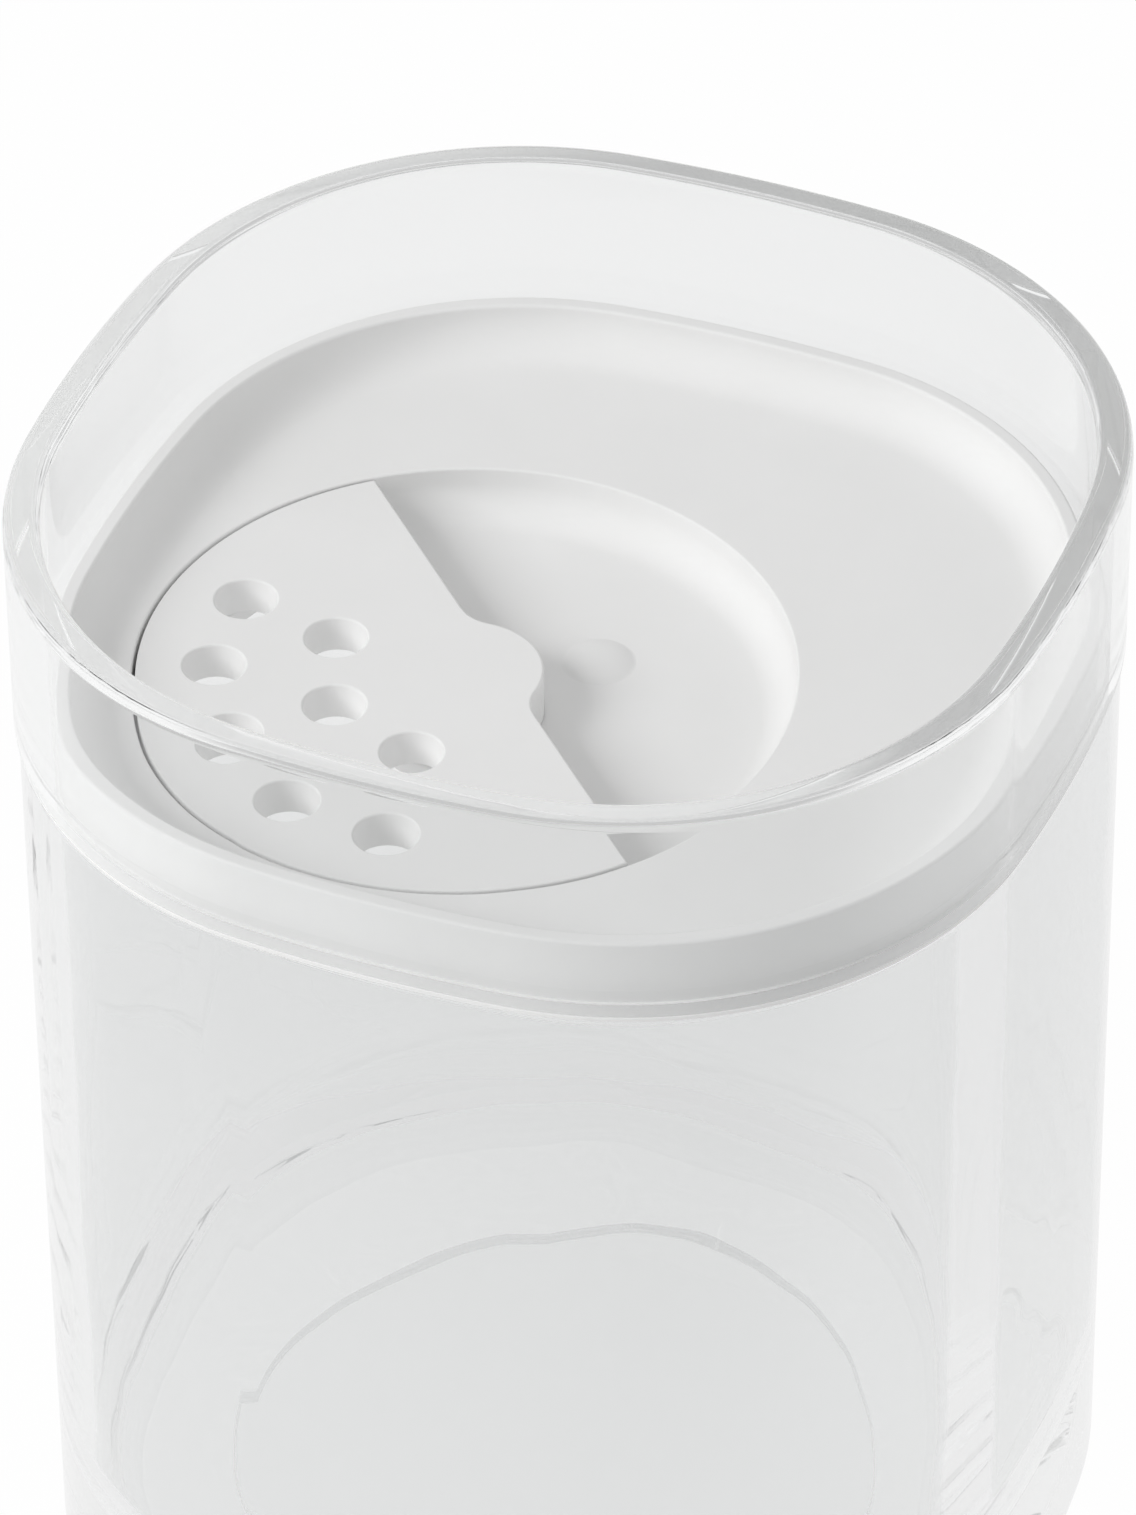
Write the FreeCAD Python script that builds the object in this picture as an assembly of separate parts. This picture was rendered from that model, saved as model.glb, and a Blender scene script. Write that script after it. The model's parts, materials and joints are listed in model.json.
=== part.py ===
import FreeCAD, Part
import math
import os

# Spice jar with a lift-off shaker lid. Sizes are millimetres, angles are degrees.
# The origin is the middle of the jar's foot, +Z is up, and the four flat sides face X and Y.

# Plan of the body, a rounded square of four wide side arcs and four corner arcs
BODY_WIDTH = 60.0
BODY_SIDE_RADIUS_SHARE = 3.0
BODY_CORNER_RADIUS_SHARE = 0.8

# Glass jar
JAR_HEIGHT = 64.0
JAR_WALL = 3.0
JAR_FLOOR = 8.0
CAVITY_SIDE_RADIUS_SHARE = 4.1
CAVITY_CORNER_RADIUS_SHARE = 0.7
CAVITY_FLOOR_ROUND = 6.0
FOOT_ROUND = 3.5
MOUTH_ROUND = 0.3
FOOT_RECESS_WIDTH = 39.0
FOOT_RECESS_DEPTH = 1.7
FOOT_RECESS_STEP = 0.8

# Clear lid collar: a standing rim on the insert's flange
COLLAR_HEIGHT = 13.6
COLLAR_OVERHANG = 0.25
COLLAR_WALL = 2.1
COLLAR_FOOT_ROUND = 0.1
RIM_ROUND = 0.6

# White shaker insert: a shallow tray with a round well, a flange under the collar and a plug for the jar's mouth
INSERT_HEIGHT = 4.5
INSERT_WALL = 0.95
INSERT_FIT = 0.25
INSERT_EDGE_ROUND = 0.2
FLANGE_HEIGHT = 0.4
FLANGE_INSET = 0.1
PLATE_THICKNESS = 1.6
PLUG_DEPTH = 1.7
PLUG_WALL = 1.3
PLUG_CLEARANCE = 0.5
TRAY_ROUND = 2.4
WELL_RADIUS = 18.9
WELL_DEPTH = 3.1
WELL_WALL = 1.0
WELL_FLOOR = 1.2
WELL_ROUND = 2.0
WELL_MARGIN = 0.6
POUR_HUB_MARGIN = 0.8
POUR_LEDGE = 0.5
POUR_SPREAD = 150.0
POUR_CORNER_ROUND = 1.2
PIP_WIDTH = 4.2
PIP_HEIGHT = 0.5
PIP_OUTSET = 0.85
PIP_ASIDE = 1.2

# Silicone seal ring in the plug's groove
GROOVE_DEPTH = 0.7
GROOVE_HEIGHT = 0.9
GROOVE_FLANGE = 0.3
SEAL_SEAT_CLEARANCE = 0.05
SEAL_LIP_HEIGHT = 0.25
SEAL_LIP_CLEARANCE = 0.12

# Shaker dial: a half disc with a hub, turning on a split snap stud
DIAL_GAP = 0.2
DIAL_PLATE = 2.3
DIAL_EDGE_OFFSET = 2.05
DIAL_RIB = 2.2
HUB_RADIUS = 4.5
HUB_BLEND = 2.5
HUB_LIFT = 0.1
STUD_RADIUS = 2.0
STUD_CLEARANCE = 0.06
SNAP_LIP = 0.45
SNAP_HEIGHT = 1.6
SNAP_TIP_RADIUS = 1.5
SNAP_SLOT = 0.9
HOLE_WIDTH = 3.6
OUTER_HOLE_STEP = 25.5
OUTER_HOLE_COUNT = 5
INNER_HOLE_STEP = 45.5
INNER_HOLE_COUNT = 3
RIM_MARGIN_SHARE = 0.38
HUB_MARGIN_SHARE = 0.235

# The dial's straight edge faces this way from the pivot, and its holes lie on the other side
OPEN_HEADING = 45.0

# Cuts run this far past the faces that they open, and edges this close to a level lie in it
OVERRUN = 1.0
TOUCH = 0.0001

UP = FreeCAD.Vector(0, 0, 1)


class RoundedSquare:
    """A square plan whose four sides and four corners are arcs that meet smoothly."""

    def __init__(self, side_centre, corner_centre, side_radius, corner_radius):
        self.side_centre = side_centre
        self.corner_centre = corner_centre
        self.side_radius = side_radius
        self.corner_radius = corner_radius
        self.half = side_centre + side_radius

    def grown(self, by):
        """The same plan moved outwards by a distance, or inwards by a negative one."""
        return RoundedSquare(self.side_centre, self.corner_centre, self.side_radius + by, self.corner_radius + by)

    def wire(self, z):
        join = math.atan2(self.corner_centre, self.corner_centre - self.side_centre)
        edges = []
        for quarter in range(4):
            turn = quarter * math.pi / 2
            edges.append(plan_arc(self.side_centre, 0, self.side_radius, -join, join, turn, z))
            corner_end = math.pi / 2 - join
            edges.append(
                plan_arc(self.corner_centre, self.corner_centre, self.corner_radius, join, corner_end, turn, z)
            )
        return Part.Wire(edges)

    def prism(self, low, high):
        return Part.Face(self.wire(low)).extrude(UP * (high - low))

    def ring(self, inner_plan, low, high):
        return self.prism(low, high).cut(inner_plan.prism(low - OVERRUN, high + OVERRUN))


def plan_arc(centre_x, centre_y, radius, start, end, turn, z):
    """An arc about a centre, from one direction to another, turned about the origin, at height z."""
    points = []
    for angle in (start, (start + end) / 2, end):
        x = centre_x + radius * math.cos(angle)
        y = centre_y + radius * math.sin(angle)
        turned_x = x * math.cos(turn) - y * math.sin(turn)
        turned_y = x * math.sin(turn) + y * math.cos(turn)
        points.append(FreeCAD.Vector(turned_x, turned_y, z))
    return Part.Arc(*points).toShape()


def rounded_square(width, side_radius_share, corner_radius_share):
    """The plan of a given width, with its arcs as shares of half that width."""
    half = width / 2
    side_radius = half * side_radius_share
    corner_radius = half * corner_radius_share
    side_centre = half - side_radius
    reach = side_radius - corner_radius
    corner_centre = (side_centre + math.sqrt(2 * reach**2 - side_centre**2)) / 2
    return RoundedSquare(side_centre, corner_centre, side_radius, corner_radius)


def level_edges(shape, z):
    """The edges that lie in the horizontal plane at height z."""
    found = []
    for edge in shape.Edges:
        middle = edge.valueAt((edge.FirstParameter + edge.LastParameter) / 2)
        heights = [vertex.Z for vertex in edge.Vertexes] + [middle.z]
        if all(abs(height - z) < TOUCH for height in heights):
            found.append(edge)
    return found


def upright(radius, low, high, x=0.0, y=0.0):
    return Part.makeCylinder(radius, high - low, FreeCAD.Vector(x, y, low))


def polar(radius, angle, z=0.0):
    return FreeCAD.Vector(radius * math.cos(math.radians(angle)), radius * math.sin(math.radians(angle)), z)


# Plans of the pieces, each taken from the one that it fits
BODY = rounded_square(BODY_WIDTH, BODY_SIDE_RADIUS_SHARE, BODY_CORNER_RADIUS_SHARE)
CAVITY = rounded_square(BODY_WIDTH - 2 * JAR_WALL, CAVITY_SIDE_RADIUS_SHARE, CAVITY_CORNER_RADIUS_SHARE)
COLLAR_OUTSIDE = BODY.grown(COLLAR_OVERHANG)
COLLAR_INSIDE = COLLAR_OUTSIDE.grown(-COLLAR_WALL)
INSERT_OUTSIDE = COLLAR_INSIDE.grown(-INSERT_FIT)
FLANGE_OUTSIDE = COLLAR_OUTSIDE.grown(-FLANGE_INSET)
PLUG_OUTSIDE = CAVITY.grown(-PLUG_CLEARANCE)
PLUG_INSIDE = PLUG_OUTSIDE.grown(-PLUG_WALL)
GROOVE_INSIDE = PLUG_OUTSIDE.grown(-GROOVE_DEPTH)

# Heights of the faces that pieces share
SEAM_Z = JAR_HEIGHT
FLANGE_Z = SEAM_Z + FLANGE_HEIGHT
RIM_Z = FLANGE_Z + COLLAR_HEIGHT
INSERT_TOP_Z = SEAM_Z + INSERT_HEIGHT
PLATE_Z = SEAM_Z + PLATE_THICKNESS
PLUG_TIP_Z = SEAM_Z - PLUG_DEPTH
GROOVE_LOW_Z = PLUG_TIP_Z + GROOVE_FLANGE
GROOVE_HIGH_Z = GROOVE_LOW_Z + GROOVE_HEIGHT
WELL_FLOOR_Z = PLATE_Z - WELL_DEPTH
WELL_UNDER_Z = WELL_FLOOR_Z - WELL_FLOOR
DIAL_LOW_Z = WELL_FLOOR_Z + DIAL_GAP
DIAL_RECESS_Z = PLATE_Z - DIAL_PLATE

# The well lies in the corner away from the open heading, a margin inside the plug's wall
WELL_REACH = WELL_RADIUS + WELL_WALL + WELL_MARGIN
PIVOT = polar((PLUG_INSIDE.half - WELL_REACH) * math.sqrt(2), OPEN_HEADING + 180)
DIAL_RADIUS = WELL_RADIUS - DIAL_GAP

# Two rows of holes lie between the hub and the rim, and the solid left over is shared out around them
HOLE_SPARE = DIAL_RADIUS - HUB_RADIUS - 2 * HOLE_WIDTH
OUTER_HOLE_RADIUS = DIAL_RADIUS - HOLE_WIDTH / 2 - RIM_MARGIN_SHARE * HOLE_SPARE
INNER_HOLE_RADIUS = HUB_RADIUS + HOLE_WIDTH / 2 + HUB_MARGIN_SHARE * HOLE_SPARE

# The pour opening runs from beside the hub to the ledge that is left inside the well's round
POUR_INNER_RADIUS = HUB_RADIUS + POUR_HUB_MARGIN
POUR_OUTER_RADIUS = WELL_RADIUS - WELL_ROUND - POUR_LEDGE


def at_pivot(shape):
    """Turns a shape drawn about the origin, with its open side on +X, to its heading and moves it to the pivot."""
    placed = shape.copy()
    placed.rotate(FreeCAD.Vector(0, 0, 0), UP, OPEN_HEADING)
    placed.translate(PIVOT)
    return placed


def dome(width, rise, top):
    """A ball whose cap has a given width and rise, with its highest point at the top point."""
    radius = ((width / 2) ** 2 + rise**2) / (2 * rise)
    return Part.makeSphere(radius, top - UP * radius)


def foot_recess():
    """The round recess under the jar's foot: a low step all round, then a shallow dome."""
    walls = upright(FOOT_RECESS_WIDTH / 2, -OVERRUN, FOOT_RECESS_DEPTH)
    return walls.common(dome(FOOT_RECESS_WIDTH, FOOT_RECESS_DEPTH - FOOT_RECESS_STEP, UP * FOOT_RECESS_DEPTH))


def glass_jar():
    body = BODY.prism(0, JAR_HEIGHT)
    body = body.makeFillet(FOOT_ROUND, level_edges(body, 0))
    cavity = CAVITY.prism(JAR_FLOOR, JAR_HEIGHT + OVERRUN)
    cavity = cavity.makeFillet(CAVITY_FLOOR_ROUND, level_edges(cavity, JAR_FLOOR))
    jar = body.cut(cavity).cut(foot_recess())
    return jar.makeFillet(MOUTH_ROUND, level_edges(jar, JAR_HEIGHT))


def lid_collar():
    collar = COLLAR_OUTSIDE.prism(FLANGE_Z, RIM_Z)
    collar = collar.makeFillet(COLLAR_FOOT_ROUND, level_edges(collar, FLANGE_Z))
    collar = collar.cut(COLLAR_INSIDE.prism(FLANGE_Z - OVERRUN, RIM_Z + OVERRUN))
    return collar.makeFillet(RIM_ROUND, level_edges(collar, RIM_Z))


def seal_ring():
    low = GROOVE_LOW_Z + SEAL_SEAT_CLEARANCE
    high = GROOVE_HIGH_Z - SEAL_SEAT_CLEARANCE
    inside = GROOVE_INSIDE.grown(SEAL_SEAT_CLEARANCE)
    lips_outside = CAVITY.grown(-SEAL_LIP_CLEARANCE)
    ring = PLUG_OUTSIDE.ring(inside, low, high)
    for lip_low in (low, high - SEAL_LIP_HEIGHT):
        ring = ring.fuse(lips_outside.ring(inside, lip_low, lip_low + SEAL_LIP_HEIGHT))
    return ring.removeSplitter()


def pour_opening():
    """A sector between two arcs, on the covered side of the pivot, with rounded corners."""
    half_spread = POUR_SPREAD / 2
    angles = (180 - half_spread, 180, 180 + half_spread)
    low = WELL_UNDER_Z - OVERRUN
    outer = [polar(POUR_OUTER_RADIUS, angle, low) for angle in angles]
    inner = [polar(POUR_INNER_RADIUS, angle, low) for angle in reversed(angles)]
    edges = [
        Part.Arc(*outer).toShape(),
        Part.LineSegment(outer[-1], inner[0]).toShape(),
        Part.Arc(*inner).toShape(),
        Part.LineSegment(inner[-1], outer[0]).toShape(),
    ]
    sector = Part.Face(Part.Wire(edges)).extrude(UP * (WELL_FLOOR_Z + OVERRUN - low))
    return sector.makeFillet(POUR_CORNER_ROUND, upright_edges(sector))


def upright_edges(shape):
    """The straight vertical edges of a shape."""
    found = []
    for edge in shape.Edges:
        start, end = edge.Vertexes[0].Point, edge.Vertexes[-1].Point
        if math.hypot(start.x - end.x, start.y - end.y) < TOUCH and abs(start.z - end.z) > TOUCH:
            found.append(edge)
    return found


def detent_pip():
    """A shallow dome on the open side of the well's floor, beside the dial's middle inner hole at half a turn."""
    peak = FreeCAD.Vector(INNER_HOLE_RADIUS + PIP_OUTSET, PIP_ASIDE, WELL_FLOOR_Z + PIP_HEIGHT)
    above_under = upright(PIP_WIDTH, WELL_UNDER_Z + WELL_FLOOR / 2, PLATE_Z, peak.x, peak.y)
    return dome(PIP_WIDTH, PIP_HEIGHT, peak).common(above_under)


def shaker_insert():
    tray = INSERT_OUTSIDE.prism(SEAM_Z, INSERT_TOP_Z)
    hollow = INSERT_OUTSIDE.grown(-INSERT_WALL).prism(PLATE_Z, INSERT_TOP_Z + OVERRUN)
    hollow = hollow.makeFillet(TRAY_ROUND, level_edges(hollow, PLATE_Z))
    tray = tray.cut(hollow)
    tray = tray.makeFillet(INSERT_EDGE_ROUND, level_edges(tray, INSERT_TOP_Z))
    flange = FLANGE_OUTSIDE.prism(SEAM_Z, FLANGE_Z)
    plug = PLUG_OUTSIDE.ring(PLUG_INSIDE, PLUG_TIP_Z, SEAM_Z)
    plug = plug.cut(PLUG_OUTSIDE.grown(OVERRUN).ring(GROOVE_INSIDE, GROOVE_LOW_Z, GROOVE_HIGH_Z))
    boss = upright(WELL_RADIUS + WELL_WALL, WELL_UNDER_Z, SEAM_Z)
    boss = boss.makeFillet(WELL_ROUND, level_edges(boss, WELL_UNDER_Z))
    well = upright(WELL_RADIUS, WELL_FLOOR_Z, PLATE_Z + OVERRUN)
    well = well.makeFillet(WELL_ROUND, level_edges(well, WELL_FLOOR_Z))
    bore = upright(STUD_RADIUS + STUD_CLEARANCE, WELL_UNDER_Z - OVERRUN, WELL_FLOOR_Z + OVERRUN)
    body = tray.fuse([flange, plug, at_pivot(boss)])
    for cutter in (well, pour_opening(), bore):
        body = body.cut(at_pivot(cutter))
    return body.fuse(at_pivot(detent_pip())).removeSplitter()


def dial_holes():
    holes = []
    rings = (
        (OUTER_HOLE_RADIUS, OUTER_HOLE_STEP, OUTER_HOLE_COUNT),
        (INNER_HOLE_RADIUS, INNER_HOLE_STEP, INNER_HOLE_COUNT),
    )
    for radius, step, count in rings:
        for index in range(count):
            spot = polar(radius, 180 + step * (index - (count - 1) / 2))
            holes.append(upright(HOLE_WIDTH / 2, DIAL_LOW_Z - OVERRUN, PLATE_Z + OVERRUN, spot.x, spot.y))
    return holes


def snap_stud():
    """The stud under the hub, split by a slot, with a conical head that holds below the well's floor."""
    shoulder_z = WELL_UNDER_Z - HUB_LIFT
    tip_z = shoulder_z - SNAP_HEIGHT
    shaft = upright(STUD_RADIUS, shoulder_z, DIAL_LOW_Z)
    head_base = FreeCAD.Vector(0, 0, tip_z)
    head = Part.makeCone(SNAP_TIP_RADIUS, STUD_RADIUS + SNAP_LIP, SNAP_HEIGHT, head_base)
    slot_reach = STUD_RADIUS + SNAP_LIP + OVERRUN
    slot_corner = FreeCAD.Vector(-slot_reach, -SNAP_SLOT / 2, tip_z - OVERRUN)
    slot = Part.makeBox(2 * slot_reach, SNAP_SLOT, WELL_FLOOR_Z - tip_z + OVERRUN, slot_corner)
    return shaft.fuse(head).cut(slot)


def hub_joins(plate):
    """The upright edges where the hub's round meets the dial's straight edge."""
    found = []
    for edge in upright_edges(plate):
        corner = edge.Vertexes[0].Point
        if math.hypot(corner.x, corner.y) < HUB_RADIUS + TOUCH:
            found.append(edge)
    return found


def shaker_dial():
    disc = upright(DIAL_RADIUS, DIAL_LOW_Z, PLATE_Z)
    disc = disc.makeFillet(WELL_ROUND - DIAL_GAP, level_edges(disc, DIAL_LOW_Z))
    reach = DIAL_RADIUS + OVERRUN
    open_corner = FreeCAD.Vector(DIAL_EDGE_OFFSET, -reach, DIAL_LOW_Z - OVERRUN)
    open_side = Part.makeBox(reach, 2 * reach, PLATE_Z - DIAL_LOW_Z + 2 * OVERRUN, open_corner)
    hub = upright(HUB_RADIUS, DIAL_LOW_Z, PLATE_Z)
    plate = disc.cut(open_side).fuse(hub).removeSplitter()
    plate = plate.makeFillet(HUB_BLEND, hub_joins(plate))
    recess_low = DIAL_LOW_Z - OVERRUN
    recess = upright(DIAL_RADIUS - DIAL_RIB, recess_low, DIAL_RECESS_Z)
    recess = recess.cut(upright(HUB_RADIUS, recess_low - OVERRUN, DIAL_RECESS_Z + OVERRUN))
    foot = upright(HUB_RADIUS, WELL_FLOOR_Z + HUB_LIFT, DIAL_LOW_Z)
    dial = plate.cut(recess).cut(dial_holes()).fuse([foot, snap_stud()])
    return at_pivot(dial.removeSplitter())


PIECES = {
    "glass_jar": glass_jar,
    "lid_collar": lid_collar,
    "seal_ring": seal_ring,
    "shaker_insert": shaker_insert,
    "shaker_dial": shaker_dial,
}

os.makedirs("parts", exist_ok=True)
for name, make in PIECES.items():
    shape = make()
    box = shape.optimalBoundingBox(False, False)
    print(name, "solids", len(shape.Solids), "valid", shape.isValid(), "volume", round(shape.Volume, 1), box)
    shape.exportStep("parts/" + name + ".step")
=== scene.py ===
import bmesh
import bpy
import json
import math
from mathutils import Matrix, Vector


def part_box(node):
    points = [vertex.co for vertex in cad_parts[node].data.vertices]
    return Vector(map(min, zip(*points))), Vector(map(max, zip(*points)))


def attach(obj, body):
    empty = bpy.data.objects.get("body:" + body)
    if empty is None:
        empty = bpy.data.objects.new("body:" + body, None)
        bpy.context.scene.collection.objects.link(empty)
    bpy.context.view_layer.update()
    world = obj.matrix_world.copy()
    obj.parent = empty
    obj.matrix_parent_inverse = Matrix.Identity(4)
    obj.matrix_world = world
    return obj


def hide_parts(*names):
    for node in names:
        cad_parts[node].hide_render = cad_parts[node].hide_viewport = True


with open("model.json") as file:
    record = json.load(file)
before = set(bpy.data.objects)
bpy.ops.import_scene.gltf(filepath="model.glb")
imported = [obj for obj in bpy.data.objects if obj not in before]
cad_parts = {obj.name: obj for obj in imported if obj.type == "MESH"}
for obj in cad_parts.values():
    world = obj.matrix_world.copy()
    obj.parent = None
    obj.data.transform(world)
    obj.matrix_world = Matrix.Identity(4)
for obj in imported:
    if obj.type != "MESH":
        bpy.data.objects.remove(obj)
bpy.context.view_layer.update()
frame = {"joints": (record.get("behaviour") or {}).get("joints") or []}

# Sizes are millimetres, turned into metres where a mesh is made
MM = 0.001

# Plan of the body, a rounded square of side arcs and corner arcs whose radii are shares of half its width
BODY_HALF = 30.0
BODY_SIDE_SHARE = 3.0
BODY_CORNER_SHARE = 0.8
CAVITY_HALF = 27.0
CAVITY_SIDE_SHARE = 4.1
CAVITY_CORNER_SHARE = 0.7

# Glass jar
JAR_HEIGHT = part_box("glass_jar")[1].z / MM
JAR_FLOOR = 8.0
CAVITY_ROUND = 6.0
FOOT_ROUND = 3.5
MOUTH_ROUND = 0.3
RECESS_RADIUS = 19.5
RECESS_DEPTH = 1.7
RECESS_STEP = 0.8
RECESS_LIP_ROUND = 0.2
GLASS_WAVE = 0.07
GLASS_WAVE_SCALE = 150.0
GLASS_WAVE_DETAIL = 1.0
GLASS_WAVE_SEED = 4.0
GLASS_WAVE_FADE = 8.0

# Clear collar of the lid
COLLAR_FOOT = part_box("lid_collar")[0].z / MM
RIM_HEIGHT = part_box("lid_collar")[1].z / MM
COLLAR_OVERHANG = 0.25
COLLAR_WALL = 2.1
COLLAR_FOOT_ROUND = 0.1
SEAM_GAP = 0.03
RIM_ROUND = 0.6

# Seal ring in the plug's groove
SEAL_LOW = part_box("seal_ring")[0].z / MM
SEAL_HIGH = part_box("seal_ring")[1].z / MM
SEAL_SEAT = 0.05
SEAL_LIP_HEIGHT = 0.25
SEAL_LIP_CLEARANCE = 0.12
SEAL_LIP_ROUND = 0.1

# White insert, a tray with a flange under the collar and a plug for the jar's mouth
INSERT_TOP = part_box("shaker_insert")[1].z / MM
INSERT_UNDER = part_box("shaker_insert")[0].z / MM
INSERT_FIT = 0.25
INSERT_WALL = 0.95
INSERT_EDGE_ROUND = 0.2
TRAY_ROUND = 2.4
FLANGE_INSET = 0.1
FLANGE_EDGE_ROUND = 0.08
PLUG_DEPTH = 1.7
PLUG_WALL = 1.3
PLUG_CLEARANCE = 0.5
GROOVE_DEPTH = 0.7
WELL_RADIUS = 18.9
WELL_DEPTH = 3.1
WELL_WALL = 1.0
WELL_ROUND = 2.0
WELL_LIP_ROUND = 0.15
POUR_HUB_MARGIN = 0.8
POUR_LEDGE = 0.5
POUR_HALF_SPREAD = 75.0
POUR_CORNER = 1.2
POUR_LIP_ROUND = 0.2
PIP_RADIUS = 2.1
PIP_HEIGHT = 0.5
PIP_OUTSET = 0.85
PIP_ASIDE = 1.2

# White dial, drawn about its pivot with its straight edge towards +X
PLATE_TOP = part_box("shaker_dial")[1].z / MM
STUD_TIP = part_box("shaker_dial")[0].z / MM
DIAL_GAP = 0.2
DIAL_EDGE = 2.05
DIAL_PLATE = 2.3
DIAL_RIB = 2.2
DIAL_LIP_ROUND = 0.12
HUB_RADIUS = 4.5
HUB_BLEND = 2.5
HUB_LIFT = 0.1
STUD_RADIUS = 2.0
STUD_CLEARANCE = 0.06
SNAP_LIP = 0.45
SNAP_TIP_RADIUS = 1.5
SNAP_SLOT = 0.9
HOLE_RADIUS = 1.8
HOLE_LIP_ROUND = 0.15
OUTER_ROW_STEP = 25.5
OUTER_ROW_COUNT = 5
INNER_ROW_STEP = 45.5
INNER_ROW_COUNT = 3
RIM_MARGIN_SHARE = 0.38
HUB_MARGIN_SHARE = 0.235
OPEN_HEADING = 45.0

# Heights that several pieces share
SEAM = JAR_HEIGHT + SEAM_GAP
FLANGE_TOP = COLLAR_FOOT - SEAM_GAP
PLUG_TIP = JAR_HEIGHT - PLUG_DEPTH
GROOVE_LOW = SEAL_LOW - SEAL_SEAT
GROOVE_HIGH = SEAL_HIGH + SEAL_SEAT
WELL_FLOOR = PLATE_TOP - WELL_DEPTH

# The dial fits its well and its bore, and its two rows of holes share the room between hub and rim
DIAL_RADIUS = WELL_RADIUS - DIAL_GAP
DIAL_LOW = WELL_FLOOR + DIAL_GAP
DIAL_FOOT_ROUND = WELL_ROUND - DIAL_GAP
HUB_FOOT = WELL_FLOOR + HUB_LIFT
SNAP_SHOULDER = INSERT_UNDER - HUB_LIFT
SNAP_RADIUS = STUD_RADIUS + SNAP_LIP
BORE_RADIUS = STUD_RADIUS + STUD_CLEARANCE
HOLE_SPARE = DIAL_RADIUS - HUB_RADIUS - 4 * HOLE_RADIUS
OUTER_ROW_RADIUS = DIAL_RADIUS - HOLE_RADIUS - RIM_MARGIN_SHARE * HOLE_SPARE
INNER_ROW_RADIUS = HUB_RADIUS + HOLE_RADIUS + HUB_MARGIN_SHARE * HOLE_SPARE
POUR_INNER = HUB_RADIUS + POUR_HUB_MARGIN
POUR_OUTER = WELL_RADIUS - WELL_ROUND - POUR_LEDGE
PIVOT = Vector(next(joint["pos_m"] for joint in frame["joints"] if joint["name"] == "dial_turn")) / MM

# Fineness of the meshes
AROUND = 360
DIAL_AROUND = 180
HUB_AROUND = 72
HOLE_AROUND = 60
POUR_OUTER_STEPS = 90
POUR_INNER_STEPS = 45
ROUND_STEPS = 6
WIDE_STEPS = 12
BOWL_STEPS = 18
HUB_STEPS = 24
LIP_STEPS = 3
HOLE_LIP_STEPS = 4
FLAT_STEPS = 3
COLLAR_STEPS = 4
WALL_STEPS = 30
FLOOR_STEPS = 14
EDGE_SHARE = 0.004
FLAT_MARGIN = 0.08
SHARP_ANGLE = math.radians(38)
LEVEL = 0.9999
MERGE = 0.0005 * MM
OVERLAP = 0.4
SKIN = 0.005

# Camera, fitted to the rim, and the frame that it fills
IMAGE_WIDTH = 1136
IMAGE_HEIGHT = 1515
CAMERA_AZIMUTH = 22.29
CAMERA_ELEVATION = 38.92
CAMERA_ROLL = -0.6
CAMERA_DISTANCE = 501.0
RIM_PIXEL_X = 570.5
RIM_PIXEL_Y = 466.6
PIXELS_PER_MM = 17.822
SENSOR = 36.0

# Studio, with strengths where 1 is white, reaches towards the camera, and lamps in metres, degrees and watts
WHITE_LIGHT = (1.0, 1.0, 1.0, 1.0)
WORLD_LIGHT = 0.55
WORLD_DIM = 0.6
WORLD_DIM_START = -0.35
WORLD_DIM_END = 0.35
FLOOR_HALF = 2.0
FLOOR_COLOUR = (0.9, 0.9, 0.9, 1.0)
FLOOR_CAMERA_GLOW = 0.97
FLOOR_GLASS_GLOW = 0.7
FLOOR_DIM = 0.45
FLOOR_DIM_START = 0.035
FLOOR_DIM_END = 0.1
LAMP_DISTANCE = 0.9
KEY_ASIDE = -70.0
KEY_ELEVATION = 35.0
KEY_SIZE = 0.45
KEY_WATTS = 4.45
FILL_ASIDE = 80.0
FILL_ELEVATION = 18.0
FILL_SIZE = 0.6
FILL_WATTS = 0.6
BOUNCES = 64

# Range about which a noise field swings
NOISE_LOW = 0.3
NOISE_MIDDLE = 0.5
NOISE_HIGH = 0.7


class Plan:
    """A rounded square of four side arcs and four corner arcs. A circle has both centres at zero. Shift is
    the share of the way from the jar's axis to the dial's pivot at which the plan is centred."""

    def __init__(self, side_centre, corner_centre, side_radius, corner_radius, shift=0.0):
        self.side_centre = side_centre
        self.corner_centre = corner_centre
        self.side_radius = side_radius
        self.corner_radius = corner_radius
        self.shift = shift

    def numbers(self):
        return self.side_centre, self.corner_centre, self.side_radius, self.corner_radius, self.shift

    def grown(self, by):
        """The same plan moved outwards by a distance, or inwards by a negative one."""
        return Plan(
            self.side_centre, self.corner_centre, self.side_radius + by, self.corner_radius + by, self.shift
        )

    def part_way(self, other, share):
        """A plan between this one and another."""
        pairs = zip(self.numbers(), other.numbers())
        return Plan(*[mine + (theirs - mine) * share for mine, theirs in pairs])


def rounded_square(half, side_share, corner_share):
    side_radius = half * side_share
    corner_radius = half * corner_share
    side_centre = half - side_radius
    reach = side_radius - corner_radius
    corner_centre = (side_centre + math.sqrt(2 * reach**2 - side_centre**2)) / 2
    return Plan(side_centre, corner_centre, side_radius, corner_radius)


def circle(radius, shift=0.0):
    return Plan(0.0, 0.0, radius, radius, shift)


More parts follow.
